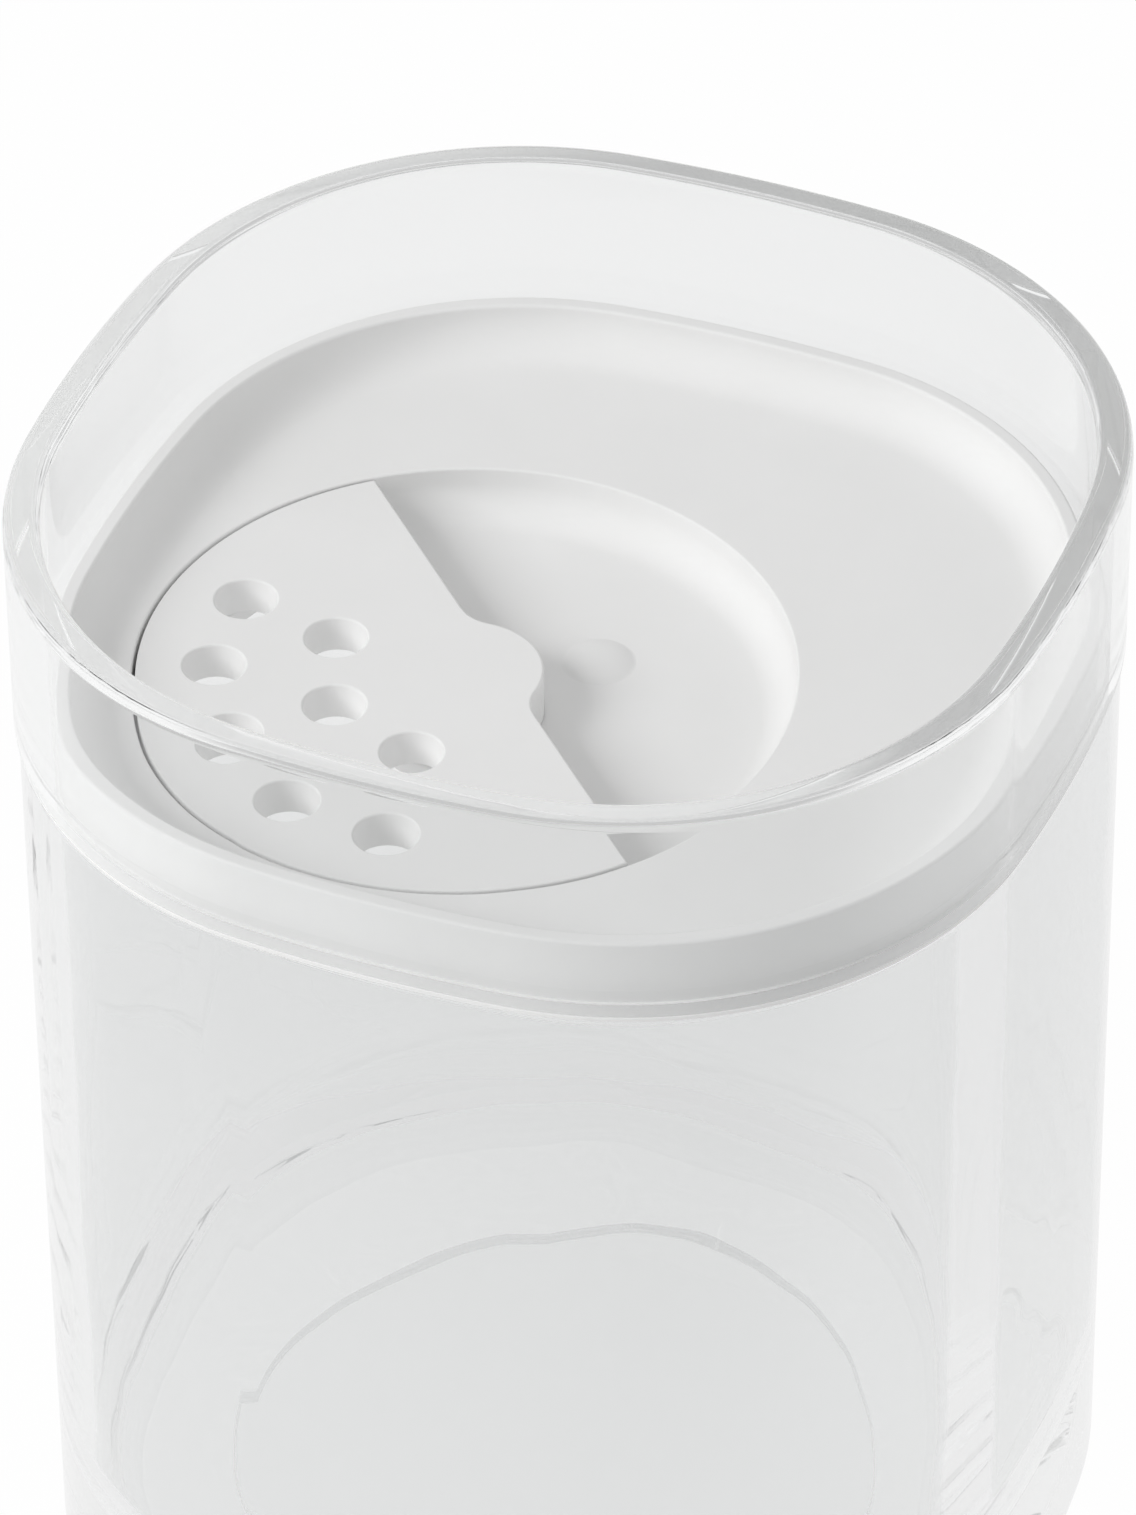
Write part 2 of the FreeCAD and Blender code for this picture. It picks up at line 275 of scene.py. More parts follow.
BODY = rounded_square(BODY_HALF, BODY_SIDE_SHARE, BODY_CORNER_SHARE)
CAVITY = rounded_square(CAVITY_HALF, CAVITY_SIDE_SHARE, CAVITY_CORNER_SHARE)
COLLAR_OUTSIDE = BODY.grown(COLLAR_OVERHANG)
COLLAR_INSIDE = COLLAR_OUTSIDE.grown(-COLLAR_WALL)
INSERT_OUTSIDE = COLLAR_INSIDE.grown(-INSERT_FIT)
INSERT_INSIDE = INSERT_OUTSIDE.grown(-INSERT_WALL)
FLANGE_OUTSIDE = COLLAR_OUTSIDE.grown(-FLANGE_INSET)
PLUG_OUTSIDE = CAVITY.grown(-PLUG_CLEARANCE)
PLUG_INSIDE = PLUG_OUTSIDE.grown(-PLUG_WALL)
GROOVE_INSIDE = PLUG_OUTSIDE.grown(-GROOVE_DEPTH)


def rounding(plan, centre_offset, centre_height, radius, start, end, steps=ROUND_STEPS):
    """Stations on an arc in the section, about a centre that lies at an offset from a plan."""
    stations = []
    for step in range(steps + 1):
        angle = math.radians(start + (end - start) * step / steps)
        offset = centre_offset + radius * math.cos(angle)
        stations.append((plan.grown(offset), centre_height + radius * math.sin(angle)))
    return stations


def run(start, end, steps):
    """Stations on the straight way between two, with one close to each end so that flat faces shade flat."""
    shares = [EDGE_SHARE] + [step / steps for step in range(1, steps)] + [1 - EDGE_SHARE]
    stations = []
    for share in shares:
        height = start[1] + (end[1] - start[1]) * share
        stations.append((start[0].part_way(end[0], share), height))
    return stations


def joined(*stretches, steps=1):
    """The stretches of a section in order, with a straight run put between each one and the next."""
    stations = list(stretches[0])
    for stretch in stretches[1:]:
        stations += run(stations[-1], stretch[0], steps)
        stations += stretch
    return stations


# Geometry Nodes helpers
def new_tree(name, inputs):
    """A tree with one geometry in and out and a named input for each size."""
    tree = bpy.data.node_groups.new(name, "GeometryNodeTree")
    tree.interface.new_socket("Geometry", in_out="INPUT", socket_type="NodeSocketGeometry")
    for label, kind in inputs.items():
        tree.interface.new_socket(label, in_out="INPUT", socket_type="NodeSocket" + kind)
    tree.interface.new_socket("Geometry", in_out="OUTPUT", socket_type="NodeSocketGeometry")
    return tree, tree.nodes.new("NodeGroupInput").outputs


def add(tree, kind, inputs, **settings):
    """A node with its settings made and its inputs linked or set."""
    node = tree.nodes.new(kind)
    for name, value in settings.items():
        setattr(node, name, value)
    for key, value in inputs.items():
        if isinstance(value, bpy.types.NodeSocket):
            tree.links.new(value, node.inputs[key])
        else:
            node.inputs[key].default_value = value
    return node


def calc(tree, operation, *values):
    return add(tree, "ShaderNodeMath", dict(enumerate(values)), operation=operation).outputs[0]


def attribute(tree, name):
    node = add(tree, "GeometryNodeInputNamedAttribute", {"Name": name}, data_type="FLOAT")
    return node.outputs["Attribute"]


def pick(tree, condition, no, yes):
    inputs = {"Switch": condition, "False": no, "True": yes}
    return add(tree, "GeometryNodeSwitch", inputs, input_type="FLOAT").outputs[0]


def end_tree(tree, geometry, material):
    """Realizes what the tree made, gives it its material and sends it out."""
    realized = add(tree, "GeometryNodeRealizeInstances", {"Geometry": geometry}).outputs[0]
    finished = add(tree, "GeometryNodeSetMaterial", {"Geometry": realized, "Material": material}).outputs[0]
    add(tree, "NodeGroupOutput", {"Geometry": finished})


PLAN_NAMES = ("side_centre", "corner_centre", "side_radius", "corner_radius", "shift")
SWEEP_NAMES = (*PLAN_NAMES, "facing", "height", "wave")


def plan_sweep_tree():
    """Carries a section round the plan. Each station of the section holds its own plan, and a point of the
    sweep lies where that plan's outline faces the point's direction."""
    inputs = {
        "Around": "Int", "Pivot": "Vector", "Wave Height": "Float", "Wave Scale": "Float", "Seed": "Float",
        "Material": "Material",
    }
    tree, given = new_tree("plan_sweep", inputs)
    section = add(tree, "GeometryNodeMeshToCurve", {"Mesh": given["Geometry"]}).outputs[0]
    ring = add(tree, "GeometryNodeCurvePrimitiveCircle", {"Resolution": given["Around"]}).outputs[0]
    index = add(tree, "GeometryNodeInputIndex", {}).outputs[0]
    facing = calc(tree, "DIVIDE", calc(tree, "MULTIPLY", index, 2 * math.pi), given["Around"])
    ring = add(
        tree, "GeometryNodeStoreNamedAttribute", {"Geometry": ring, "Name": "facing", "Value": facing},
        data_type="FLOAT", domain="POINT",
    ).outputs[0]
    sweep = add(tree, "GeometryNodeCurveToMesh", {"Curve": ring, "Profile Curve": section}).outputs[0]

    plan = [attribute(tree, name) for name in PLAN_NAMES]
    side_centre, corner_centre, side_radius, corner_radius, shift = plan
    facing = attribute(tree, "facing")
    quarter = math.pi / 2
    heading = calc(tree, "MULTIPLY", calc(tree, "ROUND", calc(tree, "DIVIDE", facing, quarter)), quarter)
    fold = calc(tree, "SUBTRACT", facing, heading)
    join = calc(tree, "ARCTAN2", corner_centre, calc(tree, "SUBTRACT", corner_centre, side_centre))
    on_side = calc(tree, "LESS_THAN", calc(tree, "ABSOLUTE", fold), join)
    centre_x = pick(tree, on_side, corner_centre, side_centre)
    centre_y = pick(tree, on_side, calc(tree, "MULTIPLY", corner_centre, calc(tree, "SIGN", fold)), 0.0)
    radius = pick(tree, on_side, corner_radius, side_radius)
    local = add(tree, "ShaderNodeCombineXYZ", {
        "X": calc(tree, "MULTIPLY_ADD", radius, calc(tree, "COSINE", fold), centre_x),
        "Y": calc(tree, "MULTIPLY_ADD", radius, calc(tree, "SINE", fold), centre_y),
        "Z": attribute(tree, "height"),
    }).outputs[0]
    headed = add(tree, "ShaderNodeVectorRotate", {"Vector": local, "Angle": heading}, rotation_type="Z_AXIS")
    moved = add(tree, "ShaderNodeVectorMath", {0: given["Pivot"], "Scale": shift}, operation="SCALE")
    spots = {0: headed.outputs[0], 1: moved.outputs[0]}
    place = add(tree, "ShaderNodeVectorMath", spots, operation="ADD").outputs[0]
    shaped = add(tree, "GeometryNodeSetPosition", {"Geometry": sweep, "Position": place}).outputs[0]
    shaped = add(tree, "GeometryNodeMergeByDistance", {"Geometry": shaped, "Distance": MERGE}).outputs[0]

    noise = add(tree, "ShaderNodeTexNoise", {
        "Vector": add(tree, "GeometryNodeInputPosition", {}).outputs[0], "W": given["Seed"],
        "Scale": given["Wave Scale"], "Detail": GLASS_WAVE_DETAIL,
    }, noise_dimensions="4D").outputs[0]
    swing = calc(tree, "MULTIPLY", calc(tree, "SUBTRACT", noise, NOISE_MIDDLE), given["Wave Height"])
    swing = calc(tree, "MULTIPLY", swing, attribute(tree, "wave"))
    normal = add(tree, "GeometryNodeInputNormal", {}).outputs[0]
    offset = add(tree, "ShaderNodeVectorMath", {0: normal, "Scale": swing}, operation="SCALE").outputs[0]
    waved = add(tree, "GeometryNodeSetPosition", {"Geometry": shaped, "Offset": offset}).outputs[0]
    end_tree(tree, waved, given["Material"])
    return tree


def set_inputs(modifier, values):
    """Sets a Geometry Nodes modifier's inputs, found by name, through their identifiers."""
    for item in modifier.node_group.interface.items_tree:
        if item.item_type == "SOCKET" and item.in_out == "INPUT" and item.name in values:
            modifier[item.identifier] = values[item.name]


def new_object(name, mesh):
    piece = bpy.data.objects.new(name, mesh)
    bpy.context.scene.collection.objects.link(piece)
    return piece


def apply_tree(piece, tree, values):
    """Runs a tree on a piece and keeps its result as the piece's plain mesh."""
    modifier = piece.modifiers.new(tree.name, "NODES")
    modifier.node_group = tree
    set_inputs(modifier, values)
    bpy.context.view_layer.update()
    evaluated = piece.evaluated_get(bpy.context.evaluated_depsgraph_get())
    mesh = bpy.data.meshes.new_from_object(evaluated)
    piece.modifiers.clear()
    old = piece.data
    piece.data = mesh
    mesh.name = piece.name
    bpy.data.meshes.remove(old)


def settle(piece, flat_tops=False):
    """Closes a finished mesh, turns its faces outwards, and shades it smooth but for its sharp edges. Where
    level faces have long triangles, flat tops keep the rounds beside them from shading across them."""
    shape = bmesh.new()
    shape.from_mesh(piece.data)
    bmesh.ops.remove_doubles(shape, verts=shape.verts, dist=MERGE)
    bmesh.ops.recalc_face_normals(shape, faces=shape.faces)
    for face in shape.faces:
        face.smooth = True
    for edge in shape.edges:
        edge.smooth = len(edge.link_faces) == 2 and edge.calc_face_angle() < SHARP_ANGLE
        if flat_tops:
            levels = [abs(face.normal.z) > LEVEL for face in edge.link_faces]
            edge.smooth = edge.smooth and all(levels) == any(levels)
    shape.to_mesh(piece.data)
    shape.free()
    attributes = piece.data.attributes
    for name in [item.name for item in attributes if item.name in SWEEP_NAMES]:
        attributes.remove(attributes[name])


def swept(name, stations, material, closed=False, waves=None, wave_height=0.0):
    """A piece whose section is a chain of stations, carried round their plans."""
    count = len(stations)
    edges = [(step, step + 1) for step in range(count - 1)]
    if closed:
        edges.append((count - 1, 0))
    mesh = bpy.data.meshes.new(name)
    mesh.from_pydata([(0.0, plan.side_radius * MM, height * MM) for plan, height in stations], edges, [])
    columns = {}
    for label, column in zip(PLAN_NAMES, zip(*[plan.numbers() for plan, height in stations])):
        scale = 1.0 if label == "shift" else MM
        columns[label] = [value * scale for value in column]
    columns["height"] = [height * MM for plan, height in stations]
    columns["wave"] = waves or [0.0] * count
    for label, column in columns.items():
        mesh.attributes.new(label, "FLOAT", "POINT").data.foreach_set("value", column)
    piece = new_object(name, mesh)
    apply_tree(piece, PLAN_SWEEP, {
        "Around": AROUND, "Pivot": (PIVOT.x * MM, PIVOT.y * MM, 0.0), "Wave Height": wave_height * MM,
        "Wave Scale": GLASS_WAVE_SCALE, "Seed": GLASS_WAVE_SEED, "Material": material,
    })
    return piece


def dome_height(radius, reach, depth):
    """Height of a shallow dome, at a radius, above the rim on which it stands."""
    sphere = (reach**2 + depth**2) / (2 * depth)
    return depth - sphere + math.sqrt(sphere**2 - radius**2)


def glass_jar(material):
    recess = []
    dome_rise = RECESS_DEPTH - RECESS_STEP
    for step in range(FLOOR_STEPS + 1):
        radius = RECESS_RADIUS * step / FLOOR_STEPS
        recess.append((circle(radius), RECESS_STEP + dome_height(radius, RECESS_RADIUS, dome_rise)))
    recess_lip = rounding(
        circle(RECESS_RADIUS), RECESS_LIP_ROUND, RECESS_LIP_ROUND, RECESS_LIP_ROUND, 180, 270
    )
    foot = rounding(BODY, -FOOT_ROUND, FOOT_ROUND, FOOT_ROUND, -90, 0, WIDE_STEPS)
    mouth_centre = JAR_HEIGHT - MOUTH_ROUND
    lip_outside = rounding(BODY, -MOUTH_ROUND, mouth_centre, MOUTH_ROUND, 0, 90)
    lip_inside = rounding(CAVITY, MOUTH_ROUND, mouth_centre, MOUTH_ROUND, 90, 180)
    bowl_centre = JAR_FLOOR + CAVITY_ROUND
    bowl = rounding(CAVITY, -CAVITY_ROUND, bowl_centre, CAVITY_ROUND, 0, -90, BOWL_STEPS)
    outside = joined(recess, recess_lip, foot, steps=FLAT_STEPS) + run(foot[-1], lip_outside[0], WALL_STEPS)
    mouth = joined(lip_outside, lip_inside)
    inside = run(lip_inside[-1], bowl[0], WALL_STEPS) + bowl
    floor = run(bowl[-1], (circle(0.0), JAR_FLOOR), FLOOR_STEPS)[:-1] + [(circle(0.0), JAR_FLOOR)]
    stations = outside + mouth + inside + floor
    waves = []
    for place, (plan, height) in enumerate(stations):
        within = place >= len(outside) + len(mouth)
        fade = min(max((PLUG_TIP - height) / GLASS_WAVE_FADE, 0.0), 1.0)
        waves.append(fade if within else 0.0)
    piece = swept("jar", stations, material, waves=waves, wave_height=GLASS_WAVE)
    settle(piece)
    return piece


def lid_collar(material):
    rim_centre = RIM_HEIGHT - RIM_ROUND
    rim_outside = rounding(COLLAR_OUTSIDE, -RIM_ROUND, rim_centre, RIM_ROUND, 0, 90)
    rim_inside = rounding(COLLAR_INSIDE, RIM_ROUND, rim_centre, RIM_ROUND, 90, 180)
    foot_centre = COLLAR_FOOT + COLLAR_FOOT_ROUND
    foot = rounding(COLLAR_OUTSIDE, -COLLAR_FOOT_ROUND, foot_centre, COLLAR_FOOT_ROUND, -90, 0)
    stations = joined(foot, rim_outside, rim_inside, [(COLLAR_INSIDE, COLLAR_FOOT)], steps=COLLAR_STEPS)
    piece = swept("collar", stations, material, closed=True)
    settle(piece)
    return piece


def seal_ring(material):
    inside = GROOVE_INSIDE.grown(SEAL_SEAT)
    lips = CAVITY.grown(-SEAL_LIP_CLEARANCE)
    waist = PLUG_OUTSIDE
    low_top = SEAL_LOW + SEAL_LIP_HEIGHT
    high_under = SEAL_HIGH - SEAL_LIP_HEIGHT
    round_out = SEAL_LIP_ROUND
    stations = joined(
        [(inside, SEAL_LOW)],
        rounding(lips, -round_out, SEAL_LOW + round_out, round_out, -90, 0),
        rounding(lips, -round_out, low_top - round_out, round_out, 0, 90),
        [(waist, low_top)], [(waist, high_under)],
        rounding(lips, -round_out, high_under + round_out, round_out, -90, 0),
        rounding(lips, -round_out, SEAL_HIGH - round_out, round_out, 0, 90),
        [(inside, SEAL_HIGH)],
    )
    piece = swept("seal", stations, material, closed=True)
    settle(piece)
    return piece


def turned(points, height):
    """Points drawn about the pivot with the open side on +X, turned to their heading and put at a height."""
    heading = math.radians(OPEN_HEADING)
    placed = []
    for x, y in points:
        placed.append((
            (PIVOT.x + x * math.cos(heading) - y * math.sin(heading)) * MM,
            (PIVOT.y + x * math.sin(heading) + y * math.cos(heading)) * MM,
            height * MM,
        ))
    return placed


def arc_points(centre_x, centre_y, radius, start, end, steps):
    points = []
    for step in range(steps + 1):
        angle = math.radians(start + (end - start) * step / steps)
        points.append((centre_x + radius * math.cos(angle), centre_y + radius * math.sin(angle)))
    return points


def add_loop(shape, points):
    """A closed loop of new vertices and edges, and its edges."""
    corners = [shape.verts.new(point) for point in points]
    edges = [shape.edges.new((corners[step - 1], corners[step])) for step in range(len(corners))]
    return corners, edges


def bridge(shape, first, second):
    """A band of faces between two loops of as many vertices."""
    for step in range(len(first)):
        shape.faces.new((first[step - 1], first[step], second[step], second[step - 1]))


def fill(shape, edges):
    """A flat face between loops, the largest outside and the others as openings in it."""
    bmesh.ops.triangle_fill(shape, edges=edges, use_beauty=True, normal=(0, 0, 1))


def pour_outline(grow):
    """The pour opening's outline, or one that lies a distance outside it, with its corners rounded."""
    corner = POUR_CORNER + grow
    outer_ring = POUR_OUTER - POUR_CORNER
    inner_ring = POUR_INNER + POUR_CORNER
    outer_lean = math.degrees(math.asin(POUR_CORNER / outer_ring))
    inner_lean = math.degrees(math.asin(POUR_CORNER / inner_ring))
    start = 180 - POUR_HALF_SPREAD
    end = 180 + POUR_HALF_SPREAD
    points = []

    def corner_arc(ring, angle, first, last):
        x = ring * math.cos(math.radians(angle))
        y = ring * math.sin(math.radians(angle))
        points.extend(arc_points(x, y, corner, first, last, ROUND_STEPS))

    def ring_arc(radius, first, last, steps):
        points.extend(arc_points(0, 0, radius, first, last, steps)[1:-1])

    corner_arc(outer_ring, start + outer_lean, start - 90, start + outer_lean)
    ring_arc(POUR_OUTER + grow, start + outer_lean, end - outer_lean, POUR_OUTER_STEPS)
    corner_arc(outer_ring, end - outer_lean, end - outer_lean, end + 90)
    corner_arc(inner_ring, end - inner_lean, end + 90, end + 180 - inner_lean)
    ring_arc(POUR_INNER - grow, end - inner_lean, start + inner_lean, POUR_INNER_STEPS)
    corner_arc(inner_ring, start + inner_lean, start + 180 + inner_lean, start + 270)
    return points


def close_well_floor(piece):
    """Fills the well's floor, above and below, round pour opening and stud's bore, and adds the pip."""
    shape = bmesh.new()
    shape.from_mesh(piece.data)
    bmesh.ops.remove_doubles(shape, verts=shape.verts, dist=MERGE)
    rims = [edge for edge in shape.edges if edge.is_boundary]
    middle = (WELL_FLOOR + INSERT_UNDER) / 2 * MM
    top_edges = [edge for edge in rims if edge.verts[0].co.z > middle]
    under_edges = [edge for edge in rims if edge.verts[0].co.z < middle]
    lip = [(POUR_LIP_ROUND + FLAT_MARGIN, 0.0)]
    for step in range(LIP_STEPS, -1, -1):
        turn = math.radians(90 * step / LIP_STEPS)
        lip.append((POUR_LIP_ROUND * (1 - math.cos(turn)), POUR_LIP_ROUND * (1 - math.sin(turn))))
    lip.append((0.0, WELL_FLOOR - INSERT_UNDER))
    pour = [(pour_outline(grow), drop) for grow, drop in lip]
    ring = arc_points(0, 0, BORE_RADIUS, 0, 360, HOLE_AROUND)[:-1]
    bore = [(ring, 0.0), (ring, WELL_FLOOR - INSERT_UNDER)]
    for section in (pour, bore):
        loops = [add_loop(shape, turned(outline, WELL_FLOOR - drop)) for outline, drop in section]
        for first, second in zip(loops, loops[1:]):
            bridge(shape, first[0], second[0])
        top_edges += loops[0][1]
        under_edges += loops[-1][1]
    pip_x = INNER_ROW_RADIUS + PIP_OUTSET
    pip = [(PIP_RADIUS + FLAT_MARGIN, 0.0)]
    for step in range(WIDE_STEPS, 0, -1):
        radius = PIP_RADIUS * step / WIDE_STEPS
        pip.append((radius, dome_height(radius, PIP_RADIUS, PIP_HEIGHT)))
    rings = []
    for radius, rise in pip:
        outline = arc_points(pip_x, PIP_ASIDE, radius, 0, 360, HOLE_AROUND)[:-1]
        rings.append(add_loop(shape, turned(outline, WELL_FLOOR + rise)))
    for first, second in zip(rings, rings[1:]):
        bridge(shape, first[0], second[0])
    peak = shape.verts.new(turned([(pip_x, PIP_ASIDE)], WELL_FLOOR + PIP_HEIGHT)[0])
    last = rings[-1][0]
    for step in range(len(last)):
        shape.faces.new((last[step - 1], last[step], peak))
    fill(shape, top_edges + rings[0][1])
    fill(shape, under_edges)
    shape.to_mesh(piece.data)
    shape.free()


def shaker_insert(material):
    well = circle(WELL_RADIUS, shift=1.0)
    boss = circle(WELL_RADIUS + WELL_WALL, shift=1.0)
    floor_edge = circle(WELL_RADIUS - WELL_ROUND, shift=1.0)
    edge_centre = INSERT_TOP - INSERT_EDGE_ROUND
    flange_round = FLANGE_EDGE_ROUND
    stations = joined(
        [(floor_edge.grown(-FLAT_MARGIN), WELL_FLOOR)],
        rounding(well, -WELL_ROUND, WELL_FLOOR + WELL_ROUND, WELL_ROUND, -90, 0, WIDE_STEPS),
        rounding(well, WELL_LIP_ROUND, PLATE_TOP - WELL_LIP_ROUND, WELL_LIP_ROUND, 180, 90),
        rounding(INSERT_INSIDE, -TRAY_ROUND, PLATE_TOP + TRAY_ROUND, TRAY_ROUND, -90, 0, WIDE_STEPS),
        rounding(INSERT_INSIDE, INSERT_EDGE_ROUND, edge_centre, INSERT_EDGE_ROUND, 180, 90),
        rounding(INSERT_OUTSIDE, -INSERT_EDGE_ROUND, edge_centre, INSERT_EDGE_ROUND, 90, 0),
        [(INSERT_OUTSIDE, FLANGE_TOP)],
        rounding(FLANGE_OUTSIDE, -flange_round, FLANGE_TOP - flange_round, flange_round, 90, 0),
        rounding(FLANGE_OUTSIDE, -flange_round, SEAM + flange_round, flange_round, 0, -90),
        [(PLUG_OUTSIDE, SEAM)], [(PLUG_OUTSIDE, GROOVE_HIGH)],
        [(GROOVE_INSIDE, GROOVE_HIGH)], [(GROOVE_INSIDE, GROOVE_LOW)], [(PLUG_OUTSIDE, GROOVE_LOW)],
        [(PLUG_OUTSIDE, PLUG_TIP)], [(PLUG_INSIDE, PLUG_TIP)], [(PLUG_INSIDE, SEAM)], [(boss, SEAM)],
        rounding(boss, -WELL_ROUND, INSERT_UNDER + WELL_ROUND, WELL_ROUND, 0, -90, WIDE_STEPS),
        [(floor_edge, INSERT_UNDER)],
        steps=FLAT_STEPS,
    )
    piece = swept("insert", stations, material)
    close_well_floor(piece)
    settle(piece)
    return piece


def dial_outline(inset, arc_inset):
    """The dial's outline moved inwards by a distance, and its round side by a further one."""
    radius = DIAL_RADIUS - inset - arc_inset
    edge = DIAL_EDGE - inset
    turn = math.degrees(math.acos(edge / radius))
    blend_x = DIAL_EDGE + HUB_BLEND
    blend_y = math.sqrt((HUB_RADIUS + HUB_BLEND) ** 2 - blend_x**2)
    lean = math.degrees(math.atan2(blend_y, blend_x))
    blend = HUB_BLEND + inset
    points = arc_points(0, 0, radius, turn, 360 - turn, DIAL_AROUND)
    points += arc_points(blend_x, -blend_y, blend, 180, 180 - lean, ROUND_STEPS)
    points += arc_points(0, 0, HUB_RADIUS - inset, -lean, lean, HUB_STEPS)[1:-1]
    points += arc_points(blend_x, blend_y, blend, 180 + lean, 180, ROUND_STEPS)
    return points


def foot_inset(height):
    """How far the dial's rounded foot lies inside its rim at a height."""
    rise = min(max(DIAL_LOW + DIAL_FOOT_ROUND - height, 0.0), DIAL_FOOT_ROUND)
    return DIAL_FOOT_ROUND - math.sqrt(DIAL_FOOT_ROUND**2 - rise**2)


def dial_plate():
    """The dial's plate as a closed shell, with its upper edge rounded."""
    shape = bmesh.new()
    under = PLATE_TOP - DIAL_PLATE
    rise = DIAL_LOW + DIAL_FOOT_ROUND - under
    levels = [(0.0, under + rise * step / FLAT_STEPS) for step in range(FLAT_STEPS + 1)]
    for step in range(LIP_STEPS + 1):
        angle = math.radians(90 * step / LIP_STEPS)
        inset = DIAL_LIP_ROUND * (1 - math.cos(angle))
        levels.append((inset, PLATE_TOP - DIAL_LIP_ROUND * (1 - math.sin(angle))))
    loops = []
    for inset, height in levels:
        outline = dial_outline(inset, foot_inset(height))
        loops.append(add_loop(shape, turned(outline, height)))
    for first, second in zip(loops, loops[1:]):
        bridge(shape, first[0], second[0])
    fill(shape, loops[0][1])
    fill(shape, loops[-1][1])
    return shape_object("dial", shape)


def shape_object(name, shape):
    bmesh.ops.recalc_face_normals(shape, faces=shape.faces)
    mesh = bpy.data.meshes.new(name)
    shape.to_mesh(mesh)
    shape.free()
    return new_object(name, mesh)


def dial_rib():
    """The rib under the dial's round side, cut off level with the straight edge."""
    under = PLATE_TOP - DIAL_PLATE
    inner = DIAL_RADIUS - DIAL_RIB
    section = [(inner, under + OVERLAP), (inner, DIAL_LOW)]
    for step in range(ROUND_STEPS + 1):
        height = DIAL_LOW + (under - DIAL_LOW) * step / ROUND_STEPS
        section.append((DIAL_RADIUS - SKIN - foot_inset(height), height))
    section.append((section[-1][0] - OVERLAP, under + OVERLAP))
    shape = bmesh.new()
    rows = []
    for step in range(DIAL_AROUND + 1):
        row = []
        for radius, height in section:
            turn = math.degrees(math.acos((DIAL_EDGE - SKIN) / radius))
            angle = math.radians(turn + (360 - 2 * turn) * step / DIAL_AROUND)
            spot = (radius * math.cos(angle), radius * math.sin(angle))
            row.append(shape.verts.new(turned([spot], height)[0]))
        rows.append(row)
    for first, second in zip(rows, rows[1:]):
        bridge(shape, first, second)
    shape.faces.new(rows[0])
    shape.faces.new(reversed(rows[-1]))
    return shape_object("dial_rib", shape)


def dial_hub():
    """The hub's foot with the stud and its snap head, turned in one piece and split by a slot."""
    top = PLATE_TOP - DIAL_PLATE + OVERLAP
    section = (
        (HUB_RADIUS - SKIN, top), (HUB_RADIUS - SKIN, HUB_FOOT), (STUD_RADIUS, HUB_FOOT),
        (STUD_RADIUS, SNAP_SHOULDER), (SNAP_RADIUS, SNAP_SHOULDER), (SNAP_TIP_RADIUS, STUD_TIP),
    )
    shape = bmesh.new()
    loops = []
    for radius, height in section:
        outline = arc_points(0, 0, radius, 0, 360, HUB_AROUND)[:-1]
        loops.append(add_loop(shape, turned(outline, height)))
    for first, second in zip(loops, loops[1:]):
        bridge(shape, first[0], second[0])
    fill(shape, loops[0][1])
    fill(shape, loops[-1][1])
    return shape_object("dial_hub", shape)


def snap_slot():
    """The cutter for the slot that lets the snap head flex."""
    reach = SNAP_RADIUS + OVERLAP
    half = SNAP_SLOT / 2
    outline = [(-reach, -half), (reach, -half), (reach, half), (-reach, half)]
    shape = bmesh.new()
    low = add_loop(shape, turned(outline, STUD_TIP - OVERLAP))
    high = add_loop(shape, turned(outline, WELL_FLOOR))
    bridge(shape, low[0], high[0])
    shape.faces.new(low[0])
    shape.faces.new(reversed(high[0]))
    return shape_object("snap_slot", shape)


def hole_cutter():
    """The cutter for one sprinkle hole, flared at the top so that the hole's edge is rounded."""
    section = [(HOLE_RADIUS, DIAL_LOW - OVERLAP)]
    for step in range(HOLE_LIP_STEPS + 1):
        angle = math.radians(90 * step / HOLE_LIP_STEPS)
        radius = HOLE_RADIUS + HOLE_LIP_ROUND * (1 - math.cos(angle))
        section.append((radius, PLATE_TOP - HOLE_LIP_ROUND * (1 - math.sin(angle)) + SKIN))
    section.append((section[-1][0], PLATE_TOP + OVERLAP))
    shape = bmesh.new()
    loops = []
    for radius, height in section:
        outline = arc_points(0, 0, radius, 0, 360, HOLE_AROUND)[:-1]
        points = [(x * MM, y * MM, height * MM) for x, y in outline]
        loops.append(add_loop(shape, points))
    for first, second in zip(loops, loops[1:]):
        bridge(shape, first[0], second[0])
    fill(shape, loops[0][1])
    fill(shape, loops[-1][1])
    return shape_object("hole_cutter", shape)


